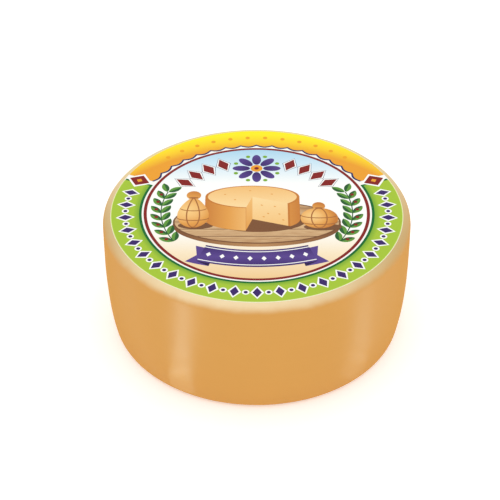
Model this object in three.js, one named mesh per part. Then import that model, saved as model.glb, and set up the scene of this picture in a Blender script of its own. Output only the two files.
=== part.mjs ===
// A wheel of provolone with a round printed label on its upper face.
//
// The wheel is one solid: a low, heavy drum with a flat foot, a rounded base edge, a side that leans in
// towards the foot as a cheese turned out of a tapered mould does, a soft shoulder, and a flat top.
// The label is a thin disc that lies on the flat top and stops where the shoulder begins to fall.
//
// Millimetres, +Z up, +X to the reader's right of the label. The origin is the centre of the foot.

import * as THREE from "three";

// The wheel.
const wheelRadius = 120;
const wheelHeight = 103;
const shoulderInset = 5.2; // how far the shoulder reaches in over the top
const shoulderDrop = 7.5; // how far it reaches down the side
const footInset = 5.5; // how much less the radius is at the base edge than at the shoulder
const leanPower = 3.6; // 1 would be a cone; more keeps the upper side upright
const baseEdgeRadius = 7;

// The label.
const labelThickness = 0.5;
const labelEdgeBevel = 0.15;
const labelMargin = 1; // bare flat top left between the label and the shoulder

// How finely the round shapes are cut.
const wheelSectors = 96;
const sideSteps = 10;
const edgeSteps = 8;

const quarterTurn = Math.PI / 2;
const flatTopRadius = wheelRadius - shoulderInset;
const labelRadius = flatTopRadius - labelMargin;

const rind = new THREE.MeshStandardMaterial({ color: 0xdda357, roughness: 0.42, metalness: 0 });
const printedFilm = new THREE.MeshStandardMaterial({ color: 0xf4f1e8, roughness: 0.4, metalness: 0 });

// The wheel's half section, from the centre of the foot out and up to the centre of the top.
function wheelSection() {
  const shoulderFoot = wheelHeight - shoulderDrop;

  // The base edge is an arc that starts square to the foot and ends along the leaning side.
  const leanRise = shoulderFoot - baseEdgeRadius;
  const leanAngle = Math.atan((leanPower * footInset) / leanRise);
  const baseEdgeCentre = wheelRadius - footInset - baseEdgeRadius * Math.cos(leanAngle);
  const sideFoot = baseEdgeRadius * (1 - Math.sin(leanAngle));

  const section = [new THREE.Vector2(0, 0)];
  for (let i = 0; i <= edgeSteps; i++) {
    const turn = quarterTurn - ((quarterTurn - leanAngle) * i) / edgeSteps;
    section.push(
      new THREE.Vector2(
        baseEdgeCentre + baseEdgeRadius * Math.cos(turn),
        baseEdgeRadius * (1 - Math.sin(turn)),
      ),
    );
  }
  for (let i = 1; i < sideSteps; i++) {
    const share = i / sideSteps;
    const lean = footInset * (1 - share) ** leanPower;
    section.push(new THREE.Vector2(wheelRadius - lean, sideFoot + (shoulderFoot - sideFoot) * share));
  }
  for (let i = 0; i <= edgeSteps; i++) {
    const turn = (quarterTurn * i) / edgeSteps;
    section.push(
      new THREE.Vector2(
        flatTopRadius + shoulderInset * Math.cos(turn),
        shoulderFoot + shoulderDrop * Math.sin(turn),
      ),
    );
  }
  section.push(new THREE.Vector2(0, wheelHeight));
  return section;
}

// The label's half section: a flat disc with a slightly bevelled upper edge.
function labelSection() {
  const top = wheelHeight + labelThickness;
  return [
    new THREE.Vector2(0, wheelHeight),
    new THREE.Vector2(labelRadius, wheelHeight),
    new THREE.Vector2(labelRadius, top - labelEdgeBevel),
    new THREE.Vector2(labelRadius - labelEdgeBevel, top),
    new THREE.Vector2(0, top),
  ];
}

// A half section turned about the upright axis, as a named mesh.
function turned(name, section, material) {
  const geometry = new THREE.LatheGeometry(section, wheelSectors);
  geometry.rotateX(quarterTurn);
  const mesh = new THREE.Mesh(geometry, material);
  mesh.name = name;
  return mesh;
}

const provolone = new THREE.Group();
provolone.add(turned("cheese_wheel", wheelSection(), rind));
provolone.add(turned("top_label", labelSection(), printedFilm));

export default provolone;
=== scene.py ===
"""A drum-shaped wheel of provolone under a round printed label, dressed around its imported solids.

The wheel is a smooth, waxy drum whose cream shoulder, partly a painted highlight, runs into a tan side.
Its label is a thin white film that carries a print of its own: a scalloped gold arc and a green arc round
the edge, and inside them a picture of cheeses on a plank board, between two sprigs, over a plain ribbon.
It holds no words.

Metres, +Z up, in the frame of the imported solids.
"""

import logging
import math
from collections.abc import Callable, Iterator, Sequence
from contextlib import contextmanager
from dataclasses import dataclass
from enum import Enum, IntEnum
from typing import Protocol

import bmesh
import bpy
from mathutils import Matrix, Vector


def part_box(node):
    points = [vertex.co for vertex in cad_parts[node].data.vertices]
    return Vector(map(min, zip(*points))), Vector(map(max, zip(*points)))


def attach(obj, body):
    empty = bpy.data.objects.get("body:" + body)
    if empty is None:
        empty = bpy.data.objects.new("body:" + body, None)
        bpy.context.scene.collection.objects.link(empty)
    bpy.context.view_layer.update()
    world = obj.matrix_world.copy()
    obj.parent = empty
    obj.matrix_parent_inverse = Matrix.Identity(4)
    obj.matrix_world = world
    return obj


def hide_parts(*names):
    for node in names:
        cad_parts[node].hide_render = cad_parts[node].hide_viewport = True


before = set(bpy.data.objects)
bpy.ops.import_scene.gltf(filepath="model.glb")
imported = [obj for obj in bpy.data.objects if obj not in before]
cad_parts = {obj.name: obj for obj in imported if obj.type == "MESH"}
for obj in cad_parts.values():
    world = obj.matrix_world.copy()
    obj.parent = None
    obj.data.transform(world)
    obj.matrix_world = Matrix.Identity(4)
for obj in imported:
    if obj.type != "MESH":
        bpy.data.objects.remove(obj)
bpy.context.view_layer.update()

log = logging.getLogger("provolone")

BODY = "root"
FULL_TURN = 360.0
QUARTER_TURN = 90.0
DOWN = 270.0  # towards the label's near edge, in degrees anticlockwise from the right
DOUBLES = 1e-6  # points nearer than this, in metres, are one
FINE, COARSE = 2.0, 4.0  # how many degrees of a turn each face or edge takes

Piece = bpy.types.Object
Socket = bpy.types.NodeSocket
Point = tuple[float, float]
Triple = tuple[float, float, float]
Place = tuple[Point, float]  # where a copy goes, and how far it is turned, in degrees

MIDDLE: Point = (0.0, 0.0)
WHOLE: Point = (0.0, 1.0)  # the range of a share
MOST_NOISE: Point = (0.3, 0.7)  # the range that most of a noise's values lie in


# ----------------------------------------------------------------------------------------------------------
# Measures: ranges, rows of numbers and points
# ----------------------------------------------------------------------------------------------------------


def about(middle: float, reach: float) -> Point:
    """The range that reaches as far to both sides of its middle."""
    return (middle - reach, middle + reach)


def grown(half: Point, edge: float) -> Point:
    """A half width and a half height, both larger by an edge."""
    return (half[0] + edge, half[1] + edge)


def spaced(start: float, end: float, step: float) -> list[float]:
    """Evenly spaced numbers from a start to an end, about a step apart."""
    count = round((end - start) / step)
    return [start + (end - start) * i / count for i in range(count + 1)]


def midway(numbers: Sequence[float]) -> list[float]:
    """The numbers halfway between neighbours."""
    return [(a + b) / 2 for a, b in zip(numbers, numbers[1:])]


def polar(centre: Point, radius: float, angle: float) -> Point:
    """The point at a radius and an angle, in degrees, from a centre."""
    turn = math.radians(angle)
    return (centre[0] + radius * math.cos(turn), centre[1] + radius * math.sin(turn))


def ring_places(centre: Point, radius: float, turns: Sequence[float]) -> list[Place]:
    """Places on a circle at the given turns, each turned to face outwards."""
    return [(polar(centre, radius, turn), turn) for turn in turns]


def bend(centre: Point, reach: Point, turns: Point, steps: int) -> list[Point]:
    """Lays points along a stretch of an ellipse.

    Args:
        centre: the ellipse's middle.
        reach: half its width and half its height, which is negative where it runs upside down.
        turns: where the stretch starts and ends, in radians.
        steps: how many edges it has.

    Returns:
        The points.
    """
    start, end = turns
    points = []
    for step in range(steps + 1):
        turn = start + (end - start) * step / steps
        points.append((centre[0] + reach[0] * math.cos(turn), centre[1] + reach[1] * math.sin(turn)))
    return points


# ----------------------------------------------------------------------------------------------------------
# The bench: selecting, editing and finishing one piece at a time
# ----------------------------------------------------------------------------------------------------------


def clear_bench() -> None:
    """Leaves nothing selected, so that the next tool acts on its own piece alone."""
    bpy.ops.object.select_all(action="DESELECT")


def take_up(*pieces: Piece) -> None:
    """Selects some pieces and nothing else, and makes the first of them the active one.

    Args:
        pieces: the pieces to work on.
    """
    clear_bench()
    for piece in pieces:
        piece.select_set(True)
    bpy.context.view_layer.objects.active = pieces[0]


def settle() -> None:
    """Moves the selected pieces' places, turns and scales into their meshes."""
    bpy.ops.object.transform_apply(location=True, rotation=True, scale=True)


def name_new(name: str) -> Piece:
    """Names the active piece, such as the primitive that was added last.

    Args:
        name: the piece's name.

    Returns:
        The named piece, with its place in its mesh.
    """
    piece = bpy.context.active_object
    piece.name = name
    piece.data.name = name
    take_up(piece)
    settle()
    return piece


def add_disc(
    name: str, radius: float, corners: int, place: Sequence[float], scale: Point = (1.0, 1.0)
) -> Piece:
    """Adds a flat disc, to be shaped further.

    Args:
        name: the disc's name.
        radius: its radius before it is scaled.
        corners: how many corners it has.
        place: its middle.
        scale: what its width and its height are multiplied by.

    Returns:
        The disc.
    """
    clear_bench()
    bpy.ops.mesh.primitive_circle_add(vertices=corners, radius=radius, fill_type="NGON", location=place)
    bpy.context.active_object.scale = (*scale, 1.0)
    return name_new(name)


@contextmanager
def editing(piece: Piece) -> Iterator[None]:
    """Opens a piece in edit mode with all its points selected, and closes it again.

    Args:
        piece: the piece to edit.

    Returns:
        A context, inside which the piece is open.
    """
    take_up(piece)
    bpy.ops.object.mode_set(mode="EDIT")
    bpy.ops.mesh.select_mode(type="VERT")
    bpy.ops.mesh.select_all(action="SELECT")
    yield
    bpy.ops.object.mode_set(mode="OBJECT")


def pick(piece: Piece, wanted: Callable[[Vector], bool]) -> None:
    """Selects points in edit mode by their place, with the edges and faces between them.

    Args:
        piece: the piece that is open in edit mode.
        wanted: tells from a point's place whether it is selected.
    """
    mesh = bmesh.from_edit_mesh(piece.data)
    for part in (*mesh.faces, *mesh.edges):
        part.select = False
    for point in mesh.verts:
        point.select = wanted(point.co)
    mesh.select_flush_mode()
    bmesh.update_edit_mesh(piece.data)


def raise_faces(height: float) -> None:
    """Extrudes what is selected in edit mode straight up."""
    bpy.ops.mesh.extrude_region_move(TRANSFORM_OT_translate={"value": (0.0, 0.0, height)})


def scale_about(centre: Sequence[float], across: float, along: float) -> None:
    """Scales what is selected in edit mode about a point, from side to side and from near to far."""
    bpy.ops.transform.resize(value=(across, along, 1.0), center_override=centre)


def apply_modifier(piece: Piece, name: str, kind: str, **settings: object) -> None:
    """Adds a modifier to a piece and applies it.

    Args:
        piece: the piece to change.
        name: the modifier's name.
        kind: Blender's name for the kind of modifier.
        settings: the modifier's own settings.
    """
    take_up(piece)
    modifier = piece.modifiers.new(name, kind)
    for setting, value in settings.items():
        setattr(modifier, setting, value)
    bpy.ops.object.modifier_apply(modifier=name)


def face_outwards(piece: Piece) -> None:
    """Merges doubled points and turns every face of a closed piece outwards.

    Args:
        piece: the piece to mend.
    """
    with editing(piece):
        bpy.ops.mesh.remove_doubles(threshold=DOUBLES)
        bpy.ops.mesh.normals_make_consistent(inside=False)


def join(name: str, pieces: Sequence[Piece]) -> Piece:
    """Joins several pieces into one.

    Args:
        name: the joined piece's name.
        pieces: what to join.

    Returns:
        The joined piece.
    """
    take_up(*pieces)
    if len(pieces) > 1:
        bpy.ops.object.join()
    return name_new(name)


def dress(piece: Piece, material: bpy.types.Material) -> Piece:
    """Gives a piece its one material.

    Args:
        piece: the piece to dress.
        material: its finish.

    Returns:
        The same piece.
    """
    piece.data.materials.clear()
    piece.data.materials.append(material)
    return piece


def report(piece: Piece) -> None:
    """Logs a finished piece's name and its number of faces."""
    log.info("%s: %d faces", piece.name, len(piece.data.polygons))


# ----------------------------------------------------------------------------------------------------------
# Colours and finishes
# ----------------------------------------------------------------------------------------------------------


@dataclass(frozen=True)
class Colour:
    """A colour as a printer's chart gives it: red, green and blue from 0 to 255."""

    red: float
    green: float
    blue: float

    def linear(self) -> tuple[float, float, float, float]:
        """Turns the colour into what the shaders want.

        Returns:
            The same colour, linear and opaque.
        """
        full, knee, low_slope, offset, power = 255, 0.04045, 12.92, 0.055, 2.4
        parts = []
        for part in (self.red, self.green, self.blue):
            share = part / full
            parts.append(share / low_slope if share <= knee else ((share + offset) / (1 + offset)) ** power)
        return (*parts, 1.0)


class Tint(Enum):
    """The printer's chart: every colour on the label."""

    WHITE = Colour(254, 254, 250)
    SAND = Colour(240, 204, 148)
    IVORY = Colour(248, 230, 196)
    HAZE = Colour(206, 231, 243)
    SKY = Colour(150, 203, 231)
    NAVY = Colour(34, 44, 98)
    LEMON = Colour(252, 238, 30)
    GOLD = Colour(251, 209, 39)
    AMBER = Colour(240, 165, 30)
    ORANGE = Colour(236, 160, 44)
    DARK_RED = Colour(132, 26, 22)
    LIME = Colour(165, 197, 55)
    LEAF_LIME = Colour(124, 172, 50)
    PALE_LIME = Colour(216, 227, 128)
    FOREST = Colour(0, 104, 42)
    FRESH = Colour(94, 150, 56)
    MOSS = Colour(36, 92, 42)
    PURPLE = Colour(56, 34, 102)
    VIOLET = Colour(88, 66, 140)
    PLUM = Colour(36, 20, 70)
    CREAM = Colour(250, 219, 162)
    BUTTER = Colour(248, 208, 136)
    CURD = Colour(242, 190, 116)
    HONEY = Colour(226, 158, 74)
    CRUST = Colour(200, 124, 52)
    TWINE = Colour(170, 108, 56)
    OAK = Colour(186, 138, 90)
    BARK = Colour(128, 82, 48)
    WALNUT = Colour(120, 80, 50)


class Run(Enum):
    """The way that a colour runs over the label."""

    ACROSS = "X"
    UPWARDS = "Y"
    OUTWARDS = "from a centre"


class Shader:
    """A material's nodes, with one method for each kind of node that the finishes use."""

    def __init__(self, name: str, roughness: float, specular: float) -> None:
        """Starts a material.

        Args:
            name: the material's name.
            roughness: how matt it is, from 0 to 1.
            specular: the surface's specular level.
        """
        self.material = bpy.data.materials.new(name)
        self.material.use_nodes = True
        self.nodes = self.material.node_tree.nodes
        self.links = self.material.node_tree.links
        self.surface = self.nodes["Principled BSDF"]
        self.set("Roughness", roughness)
        self.set("Specular IOR Level", specular)
        self.place = self.nodes.new("ShaderNodeTexCoord").outputs["Object"]

    def feed(self, socket: Socket, source: object) -> None:
        """Fills a socket.

        Args:
            socket: the socket.
            source: another node's output, a colour or a plain value.
        """
        if isinstance(source, Socket):
            self.links.new(source, socket)
        elif isinstance(source, Colour):
            socket.default_value = source.linear()[: len(socket.default_value)]
        else:
            socket.default_value = source

    def set(self, socket: str, source: object) -> None:
        """Fills one of the surface's own sockets."""
        self.feed(self.surface.inputs[socket], source)

    def add(self, kind: str, sources: dict[str | int, object], **settings: object) -> bpy.types.Node:
        """Adds a node.

        Args:
            kind: Blender's name for the kind of node.
            sources: what fills each of its sockets, by the socket's name or number.
            settings: the node's own settings.

        Returns:
            The node.
        """
        node = self.nodes.new(f"ShaderNode{kind}")
        for setting, value in settings.items():
            setattr(node, setting, value)
        for socket, source in sources.items():
            self.feed(node.inputs[socket], source)
        return node

    def axis(self, letter: str) -> Socket:
        """One coordinate of the place, X, Y or Z."""
        return self.add("SeparateXYZ", {0: self.place}).outputs[letter]

    def distance(self, centre: Vector) -> Socket:
        """How far the place is from a point."""
        return self.add("VectorMath", {0: self.place, 1: centre}, operation="DISTANCE").outputs["Value"]

    def facing(self) -> Socket:
        """How far the surface turns away, from 0 where it is seen square on to 1 at its limb."""
        even = 0.5
        return self.add("LayerWeight", {"Blend": even}).outputs["Facing"]

    def noise(self, scale: float, detail: int, stretch: Triple = (1.0, 1.0, 1.0)) -> Socket:
        """Makes soft noise over the place.

        Args:
            scale: how fine it is, in patches to the metre.
            detail: how many finer layers it has.
            stretch: how much finer it is along each axis.

        Returns:
            The noise's value, from 0 to 1.
        """
        place = self.add("Mapping", {"Scale": stretch, "Vector": self.place}).outputs["Vector"]
        return self.add("TexNoise", {"Scale": scale, "Detail": detail, "Vector": place}).outputs["Fac"]

    def cells(self, scale: float) -> Socket:
        """How far the place is from the nearest of many scattered points, in the pattern's own scale."""
        return self.add("TexVoronoi", {"Scale": scale, "Vector": self.place}).outputs["Distance"]

    def chance(self, seed: Socket) -> Socket:
        """A number from 0 to 1 that is another one for each seed."""
        return self.add("TexWhiteNoise", {"W": seed}, noise_dimensions="1D").outputs["Value"]

    def math(self, operation: str, first: Socket, second: Socket | float) -> Socket:
        """Joins two values by the rule of arithmetic that Blender knows by that name."""
        return self.add("Math", {0: first, 1: second}, operation=operation).outputs["Value"]

    def remap(self, value: Socket, old: Point, new: Point = WHOLE, smooth: bool = False) -> Socket:
        """Moves a value from one range to another, and holds it at the ends.

        Args:
            value: the value.
            old: its range.
            new: the range that it gets.
            smooth: whether it eases in and out instead of running straight.

        Returns:
            The value in the new range.
        """
        ends = dict(zip(("From Min", "From Max", "To Min", "To Max"), (*old, *new)))
        kind = "SMOOTHSTEP" if smooth else "LINEAR"
        return self.add("MapRange", {"Value": value, **ends}, interpolation_type=kind).outputs["Result"]

    def ramp(self, value: Socket, colours: Sequence[Colour]) -> Socket:
        """Turns a value from 0 to 1 into a colour.

        Args:
            value: the value.
            colours: the colours, evenly spread from 0 to 1.

        Returns:
            The colour.
        """
        node = self.add("ValToRGB", {0: value})
        elements = node.color_ramp.elements
        while len(elements) < len(colours):
            elements.new(1.0)
        while len(elements) > len(colours):
            elements.remove(elements[-1])
        last = max(len(colours) - 1, 1)
        for i, (element, colour) in enumerate(zip(elements, colours)):
            element.position = i / last
            element.color = colour.linear()
        return node.outputs["Color"]

    def shade(self, colour: Socket | Colour, value: Socket, factors: Point) -> Socket:
        """Darkens and lightens a colour by a value from 0 to 1.

        Args:
            colour: the colour.
            value: the value.
            factors: what the colour is multiplied by where the value is 0, and where it is 1.

        Returns:
            The shaded colour.
        """
        factor = self.remap(value, WHOLE, factors)
        return self.add("VectorMath", {0: colour, "Scale": factor}, operation="SCALE").outputs["Vector"]

    def blend(self, share: Socket, first: Socket | Colour, second: Socket | Colour) -> Socket:
        """Mixes two colours.

        Args:
            share: how much of the second there is.
            first: the first colour.
            second: the second.

        Returns:
            The mix.
        """
        node = self.add("Mix", {"Factor": share}, data_type="RGBA")
        colour_inputs = (socket for socket in node.inputs if socket.type == "RGBA")
        for socket, colour in zip(colour_inputs, (first, second)):
            self.feed(socket, colour)
        return next(socket for socket in node.outputs if socket.type == "RGBA")

    def bump(self, height: Socket, depth: float) -> None:
        """Gives the surface a relief too fine for its mesh: its height in shares of a depth in metres."""
        self.set("Normal", self.add("Bump", {"Distance": depth, "Height": height}).outputs["Normal"])


@dataclass(frozen=True)
class RindFinish:
    """The wheel's skin: smooth, faintly waxy, cream on the shoulder and tan down the side.

    The shoulder's cream is partly the rind's own paler tone and partly a painted highlight on the rounded
    edge, palest at the front, yellower at the back, and browner on its two cheeks, which is painted shade.
    The scales are in patches to the metre.

    Attributes:
        top: the height of the wheel's flat top.
        radius: the wheel's radius.
    """

    top: float
    radius: float
    # painted highlight: the shoulder's cream is partly the rind's own paler tone and partly light on the
    # rounded edge
    cream: Colour = Colour(242, 218, 174)
    straw: Colour = Colour(231, 214, 166)
    # painted shade: the brown that darkens the shoulder's two cheeks
    shade_brown: Colour = Colour(198, 165, 110)
    tan: Colour = Colour(210, 154, 81)
    fade: Point = (-0.0006, 0.0074)  # how far below the top the cream starts to go, and has gone
    fade_ragged: float = 0.0005  # how far the fade wanders up and down
    fade_scale: float = 90.0
    cheek_shades: tuple[Point, ...] = ((72.0, 3.5), (-80.0, 7.0))  # where painted shade browns the shoulder: direction from the front, and how narrow
    back: Point = (0.15, 0.60)  # where the straw starts and is full, in shares of the radius
    mottle: float = 0.02
    cloud_scale: float = 28.0
    brush_scale: float = 60.0
    brush_stretch: Triple = (0.25, 0.25, 5.0)
    roughness: float = 0.37
    roughness_reach: float = 0.03  # how far the roughness wanders
    specular: float = 0.04
    limb: Point = (0.56, 0.84)  # how far the surface turns away where it starts to go matt, and has
    limb_matt: float = 0.5  # what the limb's roughness gains
    pore_scale: float = 420.0
    pore_size: float = 0.25  # from a pore's middle to its rim, in the pores' own scale
    pore_share: float = 0.4  # how deep a pore is, as a share of the grain
    grain_scale: float = 900.0
    grain_depth: float = 0.00004

    def material(self) -> bpy.types.Material:
        """Makes the skin's material.

        Returns:
            The material.
        """
        shader = Shader("rind", self.roughness, self.specular)
        cloudy = shader.noise(self.cloud_scale, detail=3)
        brushed = shader.noise(self.brush_scale, detail=3, stretch=self.brush_stretch)
        # the cream shoulder, partly a painted highlight, fades into the tan side; its cheeks carry painted
        # shade
        colour = shader.blend(self.fallen(shader), self.shoulder(shader), self.tan)
        colour = shader.shade(colour, cloudy, about(1.0, self.mottle))
        shader.set("Base Color", shader.shade(colour, brushed, about(1.0, self.mottle / 2)))
        satin = shader.remap(cloudy, MOST_NOISE, about(self.roughness, self.roughness_reach))
        matt = shader.remap(shader.facing(), self.limb, (0.0, self.limb_matt))
        shader.set("Roughness", shader.math("ADD", satin, matt))
        pores = shader.remap(shader.cells(self.pore_scale), (0.0, self.pore_size), (0.0, self.pore_share))
        relief = shader.math("ADD", shader.noise(self.grain_scale, detail=3), pores)
        shader.bump(relief, self.grain_depth)
        return shader.material

    def fallen(self, shader: Shader) -> Socket:
        """Works out how much the shoulder's cream, partly its own tone and partly a painted highlight, has
        given way to the tan.

        Args:
            shader: the skin's shader.

        Returns:
            The share of tan, from 0 on the top to 1 down the side.
        """
        wander = shader.noise(self.fade_scale, detail=2)
        ragged = shader.remap(wander, MOST_NOISE, about(0.0, self.fade_ragged))
        height = shader.math("ADD", shader.axis("Z"), ragged)
        start, end = (self.top - depth for depth in self.fade)
        return shader.remap(height, (start, end), smooth=True)

    def shoulder(self, shader: Shader) -> Socket:
        """Colours the shoulder: cream with a painted highlight, palest at the front, with straw at the back
        and painted shade in brown on the cheeks.

        Args:
            shader: the skin's shader.

        Returns:
            The shoulder's colour.
        """
        backwards = shader.math("DIVIDE", shader.axis("Y"), self.radius)
        pale = shader.blend(shader.remap(backwards, self.back), self.cream, self.straw)
        right, left = (self.cheek_shade(shader, *cheek_shade) for cheek_shade in self.cheek_shades)
        # painted shade: the cheeks brown the shoulder
        return shader.blend(shader.math("MAXIMUM", right, left), pale, self.shade_brown)

    def cheek_shade(self, shader: Shader, direction: float, narrowness: float) -> Socket:
        """Works out how much painted shade one cheek puts on the shoulder, in brown.

        Args:
            shader: the skin's shader.
            direction: where the cheek is, in degrees anticlockwise from the front.
            narrowness: how fast the brown fades away to each side.

        Returns:
            The share of the painted shade's brown.
        """
        turn = math.radians(direction)
        across = shader.math("MULTIPLY", shader.axis("X"), math.sin(turn) / self.radius)
        along = shader.math("MULTIPLY", shader.axis("Y"), -math.cos(turn) / self.radius)
        reach = shader.math("MAXIMUM", shader.math("ADD", across, along), 0.0)
        return shader.math("POWER", reach, narrowness)


@dataclass(frozen=True)
class FilmFinish:
    """The label's bare film: white, smooth, with a little paper grain under its gloss."""

    white: Colour = Colour(250, 249, 243)
    roughness: float = 0.45
    specular: float = 0.15
    grain_scale: float = 1400.0  # in patches to the metre
    grain_shade: Point = (0.985, 1.0)
    grain_depth: float = 0.00001

    def material(self) -> bpy.types.Material:
        """Makes the bare film's material.

        Returns:
            The material.
        """
        shader = Shader("label_film", self.roughness, self.specular)
        grain = shader.noise(self.grain_scale, detail=2)
        shader.set("Base Color", shader.shade(self.white, grain, self.grain_shade))
        shader.bump(grain, self.grain_depth)
        return shader.material


@dataclass(frozen=True)
class Ink:
    """One printed ink, which may run from colour to colour over a stretch of the label.

    Attributes:
        name: the ink's name.
        tints: the colours, evenly spread from the start of the run to its end.
        run: the way that the colour runs.
        start: where the run starts, in shares of the label's radius.
        end: where it ends.
        centre: the point that an outward run is measured from, in the same shares.
        mottle: how unevenly the ink has taken.
    """

    name: str
    tints: tuple[Tint, ...]
    run: Run = Run.UPWARDS
    start: float = -1.0
    end: float = 1.0
    centre: Point = MIDDLE
    mottle: float = 0.02
    roughness: float = 0.42
    roughness_reach: float = 0.04  # how far the roughness wanders
    specular: float = 0.12
    grain_scale: float = 650.0  # in patches to the metre

    def material(self, radius: float, height: float) -> bpy.types.Material:
        """Makes the ink's material.

        Args:
            radius: the label's radius, in metres.
            height: the height of the label's face, in metres.

        Returns:
            The material.
        """
        shader = Shader(f"ink_{self.name}", self.roughness, self.specular)
        if self.run is Run.OUTWARDS:
            along = shader.distance(Vector((self.centre[0] * radius, self.centre[1] * radius, height)))
        else:
            along = shader.axis(self.run.value)
        share = shader.remap(along, (self.start * radius, self.end * radius))
        colour = shader.ramp(share, [tint.value for tint in self.tints])
        grain = shader.noise(self.grain_scale, detail=3)
        shader.set("Base Color", shader.shade(colour, grain, about(1.0, self.mottle)))
        satin = shader.remap(grain, MOST_NOISE, about(self.roughness, self.roughness_reach))
        shader.set("Roughness", satin)
        return shader.material


def flat(tint: Tint) -> Ink:
    """The plain ink of one tint."""
    return Ink(tint.name.lower(), (tint,))


@dataclass(frozen=True)
class PlankInk:
    """The print of pale planks, each of its own tone, with grain that runs along them.

    Attributes:
        plank_width: how wide each plank is, in shares of the label's radius.
    """

    plank_width: float
    pale: Colour = Colour(222, 188, 142)
    deep: Colour = Colour(178, 132, 88)
    name: str = "planks"
    roughness: float = 0.45
    specular: float = 0.12
    tone: float = 0.45  # how much the planks' own tones differ
    grain_scale: float = 260.0  # in patches to the metre
    grain_stretch: Triple = (0.35, 4.0, 1.0)
    outer_tone: float = 0.5  # what the tone gains with each metre from the label's middle
    tones: Point = (0.35, 1.0)  # where the wood is palest, and where it is deepest

    def material(self, radius: float, height: float) -> bpy.types.Material:
        """Makes the planks' material.

        Args:
            radius: the label's radius, in metres.
            height: the height of the label's face, in metres.

        Returns:
            The material.
        """
        shader = Shader(f"ink_{self.name}", self.roughness, self.specular)
        rows = shader.math("DIVIDE", shader.axis("Y"), self.plank_width * radius)
        plank = shader.math("FLOOR", rows, 0.0)
        tone = shader.math("MULTIPLY", shader.chance(plank), self.tone)
        grain = shader.noise(self.grain_scale, detail=5, stretch=self.grain_stretch)
        outer = shader.math("MULTIPLY", shader.distance(Vector((0.0, 0.0, height))), self.outer_tone)
        share = shader.remap(shader.math("ADD", shader.math("ADD", tone, grain), outer), self.tones)
        shader.set("Base Color", shader.blend(share, self.pale, self.deep))
        return shader.material


@dataclass(frozen=True)
class FloorFinish:
    """The plain pale floor: a matt, nearly white table with a little light of its own."""

    white: Colour = Colour(250, 250, 250)
    roughness: float = 1.0
    specular: float = 0.0
    glow: float = 0.30
    cloud_scale: float = 3.0  # in patches to the metre
    cloud_shade: Point = (0.99, 1.0)

    def material(self) -> bpy.types.Material:
        """Makes the floor's material.

        Returns:
            The material.
        """
        shader = Shader("floor", self.roughness, self.specular)
        cloudy = shader.noise(self.cloud_scale, detail=2)
        shader.set("Base Color", shader.shade(self.white, cloudy, self.cloud_shade))
        shader.set("Emission Strength", self.glow)
        return shader.material


# ----------------------------------------------------------------------------------------------------------
# The wheel
# ----------------------------------------------------------------------------------------------------------


@dataclass(frozen=True)
class Wheel:
    """The cheese itself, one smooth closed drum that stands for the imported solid.

    Attributes:
        radius: the widest radius, just under the shoulder.
        height: from the foot to the flat top.
    """

    radius: float
    height: float
    shoulder_inset: float = 0.0052
    shoulder_drop: float = 0.0075
    foot_inset: float = 0.0055
    lean_power: float = 3.6
    base_edge_radius: float = 0.007
    flat_ring: float = 0.006  # from the flat foot's or flat top's edge in to the next ring
    sectors: int = 320
    base_edge_steps: int = 14
    side_steps: int = 50
    shoulder_steps: int = 18
    swell_depth: float = 0.0005
    swell_size: float = 0.045
    swell_layers: int = 1
    swell_middle: float = 0.5  # the level of the swells' pattern that moves nothing

    def section(self) -> list[Point]:
        """Draws the half section, as radius and height, from the foot out, up and in over the top.

        Returns:
            The points, without the two on the axis.
        """
        edge = self.base_edge_radius
        upright = math.pi / 2
        shoulder_foot = self.height - self.shoulder_drop
        lean = math.atan(self.lean_power * self.foot_inset / (shoulder_foot - edge))
        edge_centre = self.radius - self.foot_inset - edge * math.cos(lean)
        side_foot = edge * (1 - math.sin(lean))
        flat_top = self.radius - self.shoulder_inset

        points = [(edge_centre - self.flat_ring, 0.0)]
        points += bend((edge_centre, edge), (edge, -edge), (upright, lean), self.base_edge_steps)
        for step in range(1, self.side_steps):
            share = step / self.side_steps
            inset = self.foot_inset * (1 - share) ** self.lean_power
            points.append((self.radius - inset, side_foot + (shoulder_foot - side_foot) * share))
        shoulder = (self.shoulder_inset, self.shoulder_drop)
        points += bend((flat_top, shoulder_foot), shoulder, (0.0, upright), self.shoulder_steps)
        points.append((flat_top - self.flat_ring, self.height))
        return points

    def drum(self) -> Piece:
        """Raises the drum ring by ring from its foot.

        Returns:
            The closed drum.
        """
        section = self.section()
        piece = add_disc("cheese_wheel_rind", section[0][0], self.sectors, (0.0, 0.0, 0.0))
        with editing(piece):
            for (old_radius, old_height), (radius, height) in zip(section, section[1:]):
                raise_faces(height - old_height)
                growth = radius / old_radius
                scale_about((0.0, 0.0, height), growth, growth)
        face_outwards(piece)
        return piece

    def soften(self, piece: Piece) -> None:
        """Gives the side the faint swells of a moulded and waxed cheese, and shades it smooth.

        Args:
            piece: the drum.
        """
        side = piece.vertex_groups.new(name="side")
        for point in piece.data.vertices:
            side.add([point.index], self.softness(point.co.z), "REPLACE")
        swells = bpy.data.textures.new("swells", type="CLOUDS")
        swells.noise_scale = self.swell_size
        swells.noise_depth = self.swell_layers
        apply_modifier(
            piece,
            "swell",
            "DISPLACE",
            texture=swells,
            texture_coords="LOCAL",
            direction="NORMAL",
            strength=self.swell_depth,
            mid_level=self.swell_middle,
            vertex_group=side.name,
        )
        take_up(piece)
        bpy.ops.object.shade_smooth()

    def softness(self, height: float) -> float:
        """Works out how much of the swells a point gets.

        Args:
            height: the point's height.

        Returns:
            A share, 0 at the foot and on the top and 1 between them.
        """
        above_foot = (height - self.base_edge_radius) / self.base_edge_radius
        below_top = (self.height - height) / self.shoulder_drop
        return max(0.0, min(1.0, above_foot, below_top))

    def build(self) -> None:
        """Makes the wheel and puts it in the frame."""
        piece = self.drum()
        self.soften(piece)
        dress(piece, RindFinish(top=self.height, radius=self.radius).material())
        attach(piece, BODY)
        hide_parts("cheese_wheel")
        report(piece)


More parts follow.
